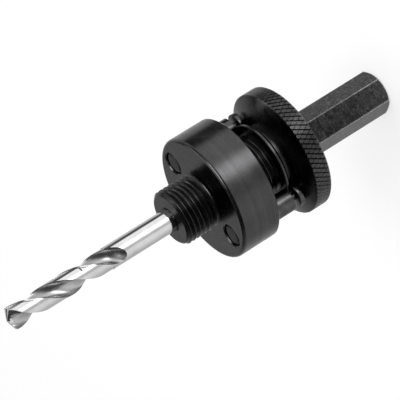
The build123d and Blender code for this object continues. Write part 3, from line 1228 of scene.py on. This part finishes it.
@dataclass
class KnurledNut:
    """The nut: knurled band, cone, groove for the pins' heads, lip and thread."""

    back: float = 30.3
    band_end: float = 35.6
    face: float = 37.35
    lip_rear: float = 39.05
    lip_front: float = 40.5
    sides: int = 192
    crest_radius: float = 17.9
    knurl_depth: float = 0.32
    knurl_count: int = 77
    knurl_rows: int = 5
    knurl_height: float = 2.52
    knurl_lean: float = 30.0            # degrees between the axis and the deeper knurl
    knurl_half_flat: float = 0.38
    knurl_lengthening: float = 0.15
    knurl_merge: float = 0.00001        # metres
    knurl_over: float = 0.3             # how far the blank's band stands past the crests
    bar_lap_back: float = 1.5
    bar_lap_front: float = 2.0
    edge_step: float = 0.7
    edge_drop: float = 0.35
    back_chamfer: float = 0.5
    face_radius: float = 12.3
    face_edge_out: float = 0.15
    face_edge_in: float = 0.1
    face_edge_drop: float = 0.05
    core_radius: float = 10.1
    lip_radius: float = 11.5
    lip_edge: float = 0.16
    lip_back_taper: float = 0.8
    bore_radius: float = 7.98
    bore_chamfer: float = 0.9
    thread: ScrewThread = field(
        default_factory=lambda: ScrewThread(8.8, 25.4 / 18, 42.6, 81.4)
    )

    def blank(self) -> Piece:
        """The nut as turned, before it is knurled and tapped.

        Returns:
            The blank, its band a little over size.
        """
        over = self.knurl_over
        band = self.crest_radius + over
        slope = self.edge_drop / self.edge_step
        mouth = self.bore_radius + self.bore_chamfer
        outline: Outline = [
            (mouth, self.back),
            (self.crest_radius - self.back_chamfer, self.back),
            (band, self.back + self.back_chamfer + over),
            (band, self.band_end - self.edge_drop - over * slope),
            (self.crest_radius - self.edge_step, self.band_end),
            (self.face_radius + self.face_edge_out, self.face - self.face_edge_drop),
            (self.face_radius - self.face_edge_in, self.face),
            (self.core_radius, self.face),
            (self.core_radius, self.lip_rear),
            (self.lip_radius - self.lip_back_taper, self.lip_rear),
            (self.lip_radius, self.lip_rear + self.lip_back_taper),
        ]
        lip_round = (self.lip_radius - self.lip_edge, self.lip_front - self.lip_edge)
        outline += arc(lip_round, self.lip_edge, 0, 90, 4)
        outline += [
            (mouth, self.lip_front),
            (self.bore_radius, self.lip_front - self.bore_chamfer),
            (self.bore_radius, self.back + self.bore_chamfer),
            (mouth, self.back),
        ]
        return turn("knurled_nut_steel", outline, self.sides, ring=True)

    def lengthen_crest(self, plate: Piece) -> None:
        """Stretches a diamond's flat top along the deeper of the two knurls.

        Args:
            plate: The plate with one diamond, in edit mode.
        """
        lean = math.radians(self.knurl_lean)
        way = Vector((math.sin(lean), 0, math.cos(lean)))
        top = min(v.co.y for v in bmesh.from_edit_mesh(plate.data).verts)
        for end in (1, -1):
            select_corners(plate, lambda place: place.y < top + MERGE and place.dot(way) * end > 0)
            bpy.ops.transform.translate(value=way * end * self.knurl_lengthening * MM)

    def diamond_plate(self, width: float) -> Piece:
        """A flat diamond with a raised crest.

        Args:
            width: Width of the diamond round the nut.

        Returns:
            The plate, standing across the Y axis.
        """
        deselect_all()
        bpy.ops.mesh.primitive_plane_add(size=1, rotation=(math.radians(90), 0, 0))
        plate = named("knurled_bar")
        settle(plate)
        open_mesh(plate)
        swing(-45, "Y")
        side = MM / math.sqrt(2)
        bpy.ops.transform.resize(
            value=(width * side, 1, self.knurl_height * side), center_override=ORIGIN
        )
        half_pitch = width * math.cos(math.radians(self.knurl_lean)) / 2
        bpy.ops.mesh.inset(
            thickness=(half_pitch - self.knurl_half_flat) * MM, depth=self.knurl_depth * MM
        )
        self.lengthen_crest(plate)
        close_mesh()
        return plate

    def knurled_bar(self) -> Piece:
        """A round bar covered all over with raised diamonds.

        One diamond is repeated into a sheet, and the sheet is rolled up about
        the axis.

        Returns:
            The bar.
        """
        groove_radius = self.crest_radius - self.knurl_depth
        width = math.tau * groove_radius / self.knurl_count
        bar = self.diamond_plate(width)
        for title, count, step in (
            ("round", self.knurl_count, (width, 0, 0)),
            ("between", 2, (width / 2, 0, self.knurl_height / 2)),
            ("along", self.knurl_rows, (0, 0, self.knurl_height)),
        ):
            apply_modifier(
                bar, title, "ARRAY", use_relative_offset=False, use_constant_offset=True,
                constant_offset_displace=[s * MM for s in step], count=count,
                use_merge_vertices=True, merge_threshold=self.knurl_merge,
            )
        corners = [v.co.x for v in bar.data.vertices]
        rolled = (max(corners) - min(corners)) / (width * self.knurl_count * MM) * math.tau
        apply_modifier(
            bar, "roll", "SIMPLE_DEFORM", deform_method="BEND", deform_axis="Z", angle=rolled
        )
        clean_shell(bar, self.knurl_merge)
        middle = (self.back + self.band_end) / 2
        start = middle - self.knurl_height * (self.knurl_rows - 0.5) / 2
        open_mesh(bar)
        bpy.ops.transform.translate(value=(0, -groove_radius * MM, start * MM))
        close_mesh()
        cut_to_length(bar, self.back - self.bar_lap_back, self.band_end + self.bar_lap_front)
        return bar

    def build(self) -> Piece:
        """Knurls and taps the blank, and dresses it.

        Returns:
            The finished nut.
        """
        nut = self.blank()
        bar = self.knurled_bar()
        clear = self.crest_radius + LAP
        front = turn(
            "front_part", [(clear, self.band_end + LAP), (clear, self.lip_front + LAP)], self.sides
        )
        combine(bar, front, Cut.WELD)
        combine(nut, bar, Cut.TRIM)
        combine(nut, self.thread.rod("tap", self.back - LAP, self.lip_front + LAP), Cut.BORE)
        clean_shell(nut)
        smooth(nut)
        dress(nut, NUT_STEEL)
        mount_on(nut, Body.NUT, "knurled_nut")
        return nut


@dataclass
class SmoothedNode:
    """A piece made from a copy of its CAD node, with merged corners and soft edges."""

    node: str
    name: str
    body: Body
    slot: str
    finish: SteelFinish
    edge_break: float
    bevel_angle: float = 35.0   # degrees from which an edge is broken
    front_reach: float = 0.0    # how much further its front end stands out
    front_share: float = 1.0    # share of its end face's size that is kept
    front_depth: float = 0.0    # length of the front end that is painted darker, as shade in its hole
    # finish of the front end; on the pins a darker steel that is painted shade
    front_painted_shade: SteelFinish | None = None

    def draw_out(self, piece: Piece) -> None:
        """Draws the front end out and narrows its end face.

        Args:
            piece: The piece.
        """
        open_mesh(piece)
        front = max(v.co.z for v in bmesh.from_edit_mesh(piece.data).verts)
        select_corners(piece, lambda place: place.z > front - MM)
        bpy.ops.transform.translate(value=(0, 0, self.front_reach * MM))
        end = front + self.front_reach * MM - MERGE
        select_corners(piece, lambda place: place.z > end)
        rim = [v.co for v in bmesh.from_edit_mesh(piece.data).verts if v.select]
        bpy.ops.transform.resize(
            value=(self.front_share, self.front_share, 1),
            center_override=sum(rim, Vector()) / len(rim),
        )
        close_mesh()

    def build(self) -> Piece:
        """Copies, smooths and dresses the node.

        Returns:
            The finished piece.
        """
        piece = put_in_scene(self.name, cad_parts[self.node].data.copy())
        piece.data.materials.clear()
        clean_shell(piece)
        if self.front_reach:
            self.draw_out(piece)
        apply_modifier(
            piece, "edges", "BEVEL", width=self.edge_break * MM, segments=2,
            limit_method="ANGLE", angle_limit=math.radians(self.bevel_angle),
        )
        smooth(piece)
        dress(piece, self.finish, self.front_painted_shade)
        # the front end takes its darker finish, painted shade in the hole
        if self.front_painted_shade:
            front = max(v.co.z for v in piece.data.vertices) - self.front_depth * MM
            for face in piece.data.polygons:
                if face.center.z > front:
                    face.material_index = 1
        mount_on(piece, self.body, self.node)
        return piece


@dataclass
class PilotDrill:
    """The pilot drill: round shank, two helical flutes, ground lands and split point."""

    radius: float = 3.175
    sides: int = 144
    rear: float = 40.1
    tip: float = 122.6
    tip_radius: float = 0.06
    rear_chamfer: float = 0.4
    point_angle: float = 135.0
    lead: float = 34.0
    flute_length: float = 31.6
    run_out: float = 4.6
    exit_clearance: float = 0.35
    flute_radius: float = 2.3
    flute_sides: int = 72
    web: float = 1.24
    start_angle: float = 54.0
    margin_angle: float = 17.0
    land_clearance: float = 0.14
    land_overlap: float = 10.0          # degrees by which a land's tool reaches into its flute
    land_reach: float = 0.3             # how far the land's tool stands past the outside
    land_steps: int = 18
    chisel_width: float = 0.3
    gash_slope: float = 38.0
    gash_turn: float = -4.0
    step_angle: float = 6.0
    screw_height: float = 53.85
    flat_depth: float = 0.35
    flat_length: float = 8.0
    surface_tolerance: float = 0.012
    flute_inset: float = 0.02           # faces nearer the outside keep the drill's finish
    end_tilt: float = 0.8               # faces whose normal rises more than this do too

    @property
    def point_length(self) -> float:
        """Length of the drill's point."""
        return self.radius / math.tan(math.radians(self.point_angle / 2))

    @property
    def screw_top(self) -> float:
        """Height above which nothing of the grub screw's flat is left."""
        return self.screw_height + self.flat_length

    @property
    def centre(self) -> float:
        """Distance of a flute's middle line from the axis."""
        return self.web / 2 + self.flute_radius

    @property
    def half_angle(self) -> float:
        """Half of the angle that a flute takes out of the drill's outside, in degrees."""
        return math.degrees(math.acos(
            (self.radius ** 2 + self.centre ** 2 - self.flute_radius ** 2)
            / (2 * self.radius * self.centre)
        ))

    def twist_down(self, tool: Piece, start_angle: float, length: float,
                   run_out: float = 0.0) -> None:
        """Extrudes a tool's open outline down along the flutes' helix.

        Args:
            tool: A flat outline whose face is the whole mesh.
            start_angle: Angle of its middle, in degrees.
            length: Length along the axis.
            run_out: Further length over which it rises out of the drill.
        """
        drop = self.lead * self.step_angle / 360
        steps = round(length / drop)
        exit_steps = round(run_out / drop)
        rise = self.radius - self.web / 2 + self.exit_clearance
        open_mesh(tool)
        bpy.ops.mesh.select_mode(type="FACE")
        bpy.ops.mesh.select_all(action="SELECT")
        for step in range(1, steps + exit_steps + 1):
            extrude(0, -drop * MM)
            swing(-self.step_angle)
            if step > steps:
                part, before = (step - steps) / exit_steps, (step - steps - 1) / exit_steps
                out = rise * (part ** 2 - before ** 2) * MM
                angle = math.radians(start_angle - step * self.step_angle)
                bpy.ops.transform.translate(
                    value=(out * math.cos(angle), out * math.sin(angle), 0)
                )
        close_mesh()
        clean_shell(tool)

    def flute_tool(self, shift: float) -> Piece:
        """The round-nosed path of the cutter through one flute.

        Args:
            shift: Turn of the flute about the axis, in degrees.

        Returns:
            The tool.
        """
        above = self.flute_radius
        angle = self.start_angle + shift + 360 * above / self.lead
        slope = math.atan2(math.tau * self.centre, self.lead)
        deselect_all()
        bpy.ops.mesh.primitive_circle_add(
            vertices=self.flute_sides, radius=self.flute_radius * MM, fill_type="NGON"
        )
        tool = shift_and_turn(
            named("flute_tool"),
            Matrix.Rotation(math.radians(angle), 4, "Z")
            @ Matrix.Translation((self.centre * MM, 0, (self.tip + above) * MM))
            @ Matrix.Rotation(-slope, 4, "X"),
        )
        self.twist_down(tool, angle, self.flute_length + above, self.run_out)
        return tool

    def land_tool(self, shift: float) -> Piece:
        """The grinding of one land behind its margin.

        Args:
            shift: Turn of the land about the axis, in degrees.

        Returns:
            The tool.
        """
        first = self.start_angle + shift + self.half_angle - self.land_overlap
        sweep = 180 - 2 * self.half_angle - self.margin_angle + self.land_overlap
        inner, outer = self.radius - self.land_clearance, self.radius + self.land_reach
        above = SHORT_LAP
        tool = start_point("land_tool", (inner * MM, 0, (self.tip + above) * MM))
        extrude((outer - inner) * MM, 0)
        bpy.ops.mesh.select_all(action="SELECT")
        swing(first + 360 * above / self.lead)
        sweep_round(sweep, self.land_steps)
        close_mesh()
        self.twist_down(tool, first, self.flute_length + above)
        return tool

    def gash_tool(self, shift: float) -> Piece:
        """The wedge ground away at one side of the split point.

        Args:
            shift: Turn of the gash about the axis, in degrees.

        Returns:
            The tool.
        """
        size = 2 * self.radius
        lip = math.radians(self.start_angle + shift - self.half_angle)
        floor = math.radians(self.start_angle + shift + self.gash_turn)
        rise = math.radians(self.gash_slope)
        from_lip = Vector((-math.sin(lip), math.cos(lip), 0))
        from_floor = Vector((
            math.cos(rise) * math.cos(floor), math.cos(rise) * math.sin(floor), math.sin(rise)
        ))
        along = from_floor.cross(from_lip).normalized()
        across = from_lip.cross(along)
        back = along.cross(across)
        lean = -from_floor.dot(back) / from_floor.dot(across)
        corner = Vector((0, 0, self.tip)) + from_lip * (self.chisel_width / 2)
        deselect_all()
        bpy.ops.mesh.primitive_plane_add(size=size * MM, location=(size / 2 * MM, size / 2 * MM, 0))
        tool = named("gash_tool")
        settle(tool)
        open_mesh(tool)
        select_corners(tool, lambda place: place.x < MM and place.y > MM)
        bpy.ops.transform.translate(value=(lean * size * MM, 0, 0))
        bpy.ops.mesh.select_all(action="SELECT")
        bpy.ops.transform.translate(value=(0, 0, -size * MM))
        extrude(0, 2 * size * MM)
        close_mesh()
        clean_shell(tool)
        turned = Matrix((across, back, along)).transposed().to_4x4()
        return shift_and_turn(tool, Matrix.Translation(corner * MM) @ turned)

    def flat_tool(self) -> Piece:
        """The cutter for the short flat that the grub screw bears on.

        Returns:
            The tool.
        """
        deselect_all()
        bpy.ops.mesh.primitive_cube_add(
            size=MM,
            location=(0, (-1.5 * self.radius + self.flat_depth) * MM, self.screw_height * MM),
            scale=(2 * self.radius, self.radius, self.flat_length),
        )
        tool = named("flat_tool")
        settle(tool)
        return tool

    def surface_of(self, face: bmesh.types.BMFace) -> Ground:
        """Tells which ground surface a face lies on.

        Args:
            face: One face of the drill.

        Returns:
            The surface.
        """
        radii = [math.hypot(v.co.x, v.co.y) / MM for v in face.verts]
        for ground, radius in (
            (Ground.ROUND, self.radius), (Ground.LAND, self.radius - self.land_clearance)
        ):
            if all(abs(r - radius) < self.surface_tolerance for r in radii):
                return ground
        return Ground.FLUTE

    def part_surfaces(self, drill: Piece) -> None:
        """Keeps the lines between the ground surfaces crisp.

        Args:
            drill: The drill.
        """
        open_mesh(drill)
        bpy.ops.mesh.select_mode(type="EDGE")
        bpy.ops.mesh.select_all(action="DESELECT")
        shape = bmesh.from_edit_mesh(drill.data)
        for edge in shape.edges:
            edge.select = len({self.surface_of(face) for face in edge.link_faces}) > 1
        bmesh.update_edit_mesh(drill.data)
        bpy.ops.mesh.mark_sharp()
        close_mesh()

    def dress_flutes(self, drill: Piece) -> None:
        """Gives the milled flutes their duller finish, rougher than the lands and darker; the darker
        tone is painted shade of the hollow flutes.

        Args:
            drill: The drill, with the flutes' finish as its second material.
        """
        shape = bmesh.new()
        shape.from_mesh(drill.data)
        low, high = self.screw_top * MM, (self.tip - self.point_length) * MM
        for face in shape.faces:
            middle = face.calc_center_median()
            upright = abs(face.normal.z) < self.end_tilt
            inside = math.hypot(middle.x, middle.y) < (self.radius - self.flute_inset) * MM
            if low < middle.z < high and upright and inside and self.surface_of(face) is Ground.FLUTE:
                face.material_index = 1
        shape.to_mesh(drill.data)
        shape.free()

    def build(self) -> Piece:
        """Turns the blank, grinds the lands, flutes, point and flat, and dresses it.

        Returns:
            The finished drill.
        """
        drill = turn("pilot_drill_steel", [
            (self.radius - self.rear_chamfer, self.rear),
            (self.radius, self.rear + self.rear_chamfer),
            (self.radius, self.tip - self.point_length),
            (self.tip_radius, self.tip),
        ], self.sides)
        for make_tool in (self.land_tool, self.flute_tool, self.gash_tool):
            for shift in (0.0, 180.0):
                combine(drill, make_tool(shift), Cut.BORE)
        combine(drill, self.flat_tool(), Cut.BORE)
        clean_shell(drill)
        smooth(drill, 24.0, even=False)
        self.part_surfaces(drill)
        dress(drill, DRILL_STEEL, FLUTE_STEEL_AND_SHADE)
        self.dress_flutes(drill)
        mount_on(drill, Body.ARBOR, "pilot_drill")
        return drill


# Studio: floor, lights and camera


@dataclass(frozen=True)
class CurvedCard:
    """A card bent round the arbor's axis, lit evenly and seen only in reflections.

    Its near and far edges are given as (radius, height) in metres, so the same
    card serves lying on the floor or standing up as a wall.
    """

    name: str
    strength: float
    start: float            # degrees from the X axis
    end: float
    near: tuple[float, float]
    far: tuple[float, float]
    soft_side: float        # degrees over which its sides fade
    soft_end: float         # share of its depth over which its edges fade

    @property
    def depth(self) -> tuple[float, float]:
        """How far the card reaches outward and upward."""
        return self.far[0] - self.near[0], self.far[1] - self.near[1]

    def material(self) -> bpy.types.Material:
        """An even glow that fades out towards the card's edges.

        Returns:
            The material.
        """
        made = bpy.data.materials.new(self.name)
        board = NodeBoard.clear(made)
        middle = math.radians((self.start + self.end) / 2)
        turned = board.add("ShaderNodeMapping")
        board.fill(turned, Vector=board.place(), Rotation=(0, 0, -middle))
        x, y, z = board.split(turned.outputs[0])
        half = math.radians((self.end - self.start) / 2)
        away = board.math("ABSOLUTE", board.math("ARCTAN2", y, x))
        side = board.spread(away, half - math.radians(self.soft_side), half, start=1.0, end=0.0)
        out, up = self.depth
        size = out * out + up * up
        beyond = board.math("SUBTRACT", board.reach(x, y), self.near[0])
        above = board.math("SUBTRACT", z, self.near[1])
        share = board.math(
            "ADD",
            board.math("MULTIPLY", beyond, out / size),
            board.math("MULTIPLY", above, up / size),
        )
        ends = board.math(
            "MULTIPLY",
            board.spread(share, 0.0, self.soft_end),
            board.spread(share, 1.0 - self.soft_end, 1.0, start=1.0, end=0.0),
        )
        clear = board.shader("ShaderNodeBsdfTransparent")
        glow = board.shader("ShaderNodeEmission", Strength=self.strength)
        board.show(board.mix(board.math("MULTIPLY", side, ends), clear, glow))
        return made

    def build(self) -> Piece:
        """Bends the card to its place.

        Returns:
            The card.
        """
        card = start_point(self.name, (self.near[0], 0, self.near[1]))
        extrude(*self.depth)
        bpy.ops.mesh.select_all(action="SELECT")
        swing(self.start)
        sweep_round(self.end - self.start, steps=max(8, int(abs(self.end - self.start) / 3)))
        close_mesh()
        card.data.materials.append(self.material())
        for ray in ("camera", "diffuse", "shadow", "transmission"):
            setattr(card, f"visible_{ray}", False)
        return card


CARDS = (
    CurvedCard("key_card", 4.6, 72, 108, (0.07, 0.0004), (0.42, 0.0004), 12, 0.12),
    CurvedCard("left_floor_card", 1.3, 100, 156, (0.085, 0.0003), (0.42, 0.0003), 6, 0.08),
    CurvedCard("near_key_card", 0.72, 38, 70, (0.015, 0.0002), (0.42, 0.0002), 9, 0.05),
    CurvedCard("foot_card", 0.5, 20, 92, (0.012, 0.0003), (0.09, 0.0003), 12, 0.3),
    CurvedCard("right_floor_card", 0.6, -125, 8, (0.06, 0.0002), (0.42, 0.0002), 55, 0.05),
    CurvedCard("back_floor_card", 0.7, 170, 250, (0.06, 0.0002), (0.42, 0.0002), 12, 0.05),
    CurvedCard("left_flag", 0.12, 151, 191, (0.06, 0.0004), (0.42, 0.0004), 7, 0.1),
    CurvedCard("low_camera_flag", 0.08, 22, 98, (0.4, 0.0002), (0.9, 0.0002), 14, 0.1),
    CurvedCard("camera_side_flag", 0.06, -45, 112, (0.9, 0.0), (0.9, 0.95), 30, 0.03),
    CurvedCard("far_side_card", 0.5, 205, 345, (0.9, 0.0), (0.9, 0.53), 20, 0.06),
    CurvedCard("far_side_flag", 0.16, 120, 345, (0.9, 0.5), (0.9, 0.96), 25, 0.06),
    CurvedCard("ceiling_card", 0.05, -180, 180, (0.01, 0.96), (0.95, 0.96), 0.5, 0.02),
)


@dataclass(frozen=True)
class SoftLamp:
    """A soft square lamp that faces the arbor."""

    name: str
    azimuth: float          # degrees from the X axis
    elevation: float        # degrees
    distance: float         # metres from the point that it faces
    width: float            # metres
    power: float            # watts
    aim: float = 0.055      # height on the axis that it faces, in metres

    def build(self) -> None:
        """Hangs the lamp in its place."""
        made = bpy.data.lights.new(self.name, "AREA")
        made.shape = "RECTANGLE"
        made.size = made.size_y = self.width
        made.energy = self.power
        holder = put_in_scene(self.name, made)
        a, e = math.radians(self.azimuth), math.radians(self.elevation)
        way = Vector((math.cos(a) * math.cos(e), math.sin(a) * math.cos(e), math.sin(e)))
        holder.location = Vector((0, 0, self.aim)) + way * self.distance
        holder.rotation_euler = (-way).to_track_quat("-Z", "Y").to_euler()
        holder.visible_camera = False


LAMPS = (
    SoftLamp("soft_key", 105, 55, 0.85, 0.5, 4.0),
    SoftLamp("soft_fill", -140, 60, 0.9, 0.6, 2.0),
)


@dataclass
class Studio:
    """Pale floor, soft lights and the camera of the photograph."""

    camera_place: tuple[float, float, float] = (0.21207, 0.630863, 0.324337)    # metres
    camera_turn: tuple[float, float, float] = (-53.1342687, 52.08203073, 12.00766418)
    lens: float = 245.99
    sensor_width: float = 36.0
    clip_range: tuple[float, float] = (0.01, 20.0)      # metres
    floor_size: float = 8.0                             # metres
    floor_height: float = -0.00002                      # metres
    floor_paint: float = 0.8        # how light the floor is to rays that scatter from the arbor
    shadow_share: float = 0.3       # share of the seen floor's tone that takes shadows
    world_light: float = 0.72       # strength of the surround as a light

    def camera(self) -> None:
        """Places the camera."""
        made = bpy.data.cameras.new("photo_camera")
        made.lens = self.lens
        made.sensor_width = self.sensor_width
        made.clip_start, made.clip_end = self.clip_range
        holder = put_in_scene("photo_camera", made)
        holder.location = self.camera_place
        holder.rotation_euler = [math.radians(a) for a in self.camera_turn]
        bpy.context.scene.camera = holder

    def seen_as_white(self, board: NodeBoard) -> Socket:
        """1 for rays that should meet a plain white background.

        Args:
            board: The board of the floor or world.

        Returns:
            The mask.
        """
        path = board.add("ShaderNodeLightPath").outputs
        mirror = board.math("MAXIMUM", path["Is Glossy Ray"], path["Is Transmission Ray"])
        return board.math("MAXIMUM", path["Is Camera Ray"], mirror)

    def floor(self) -> None:
        """A wide white floor that keeps a soft shadow."""
        deselect_all()
        bpy.ops.mesh.primitive_plane_add(size=self.floor_size, location=(0, 0, self.floor_height))
        floor = named("studio_floor")
        settle(floor)
        made = bpy.data.materials.new("studio_white")
        board = NodeBoard.clear(made)
        grey = (self.floor_paint, self.floor_paint, self.floor_paint, 1)
        paint = board.shader("ShaderNodeBsdfDiffuse", Color=grey)
        white = board.shader("ShaderNodeBsdfDiffuse", Color=(1, 1, 1, 1))
        glow = board.shader("ShaderNodeEmission", Strength=1.0)
        seen = board.mix(self.shadow_share, glow, white)
        board.show(board.mix(self.seen_as_white(board), paint, seen))
        floor.data.materials.append(made)

    def world(self) -> None:
        """A white surround, dimmer as a light than as a background."""
        world = bpy.data.worlds.new("studio_world")
        bpy.context.scene.world = world
        board = NodeBoard.clear(world)
        strength = board.spread(self.seen_as_white(board), 0, 1, start=self.world_light)
        glow = board.shader("ShaderNodeBackground", Strength=strength)
        board.show(glow, "ShaderNodeOutputWorld")

    def build(self) -> None:
        """Sets up the whole studio."""
        self.camera()
        self.floor()
        self.world()
        for light in (*LAMPS, *CARDS):
            light.build()


def main() -> None:
    """Builds the arbor and its studio, and reports each piece."""
    logging.basicConfig(level=logging.INFO, format="%(message)s")
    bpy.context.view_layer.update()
    ArborBody().build()
    KnurledNut().build()
    # each pin's recessed front end is painted darker, as shade
    for side in ("a", "b"):
        SmoothedNode(
            f"drive_pin_{side}", f"drive_pin_{side}_steel", Body.PINS, "pin_steel", PIN_STEEL,
            edge_break=0.06, front_reach=0.25, front_share=0.8, front_depth=0.9,
            front_painted_shade=PIN_END_PAINTED_SHADE,
        ).build()
    PilotDrill().build()
    SmoothedNode(
        "pilot_grub_screw", "pilot_grub_screw_steel", Body.ARBOR, "screw_steel", SCREW_STEEL,
        edge_break=0.08,
    ).build()
    Studio().build()
    bpy.context.scene.view_settings.view_transform = "Standard"


if __name__ == "__main__":
    main()
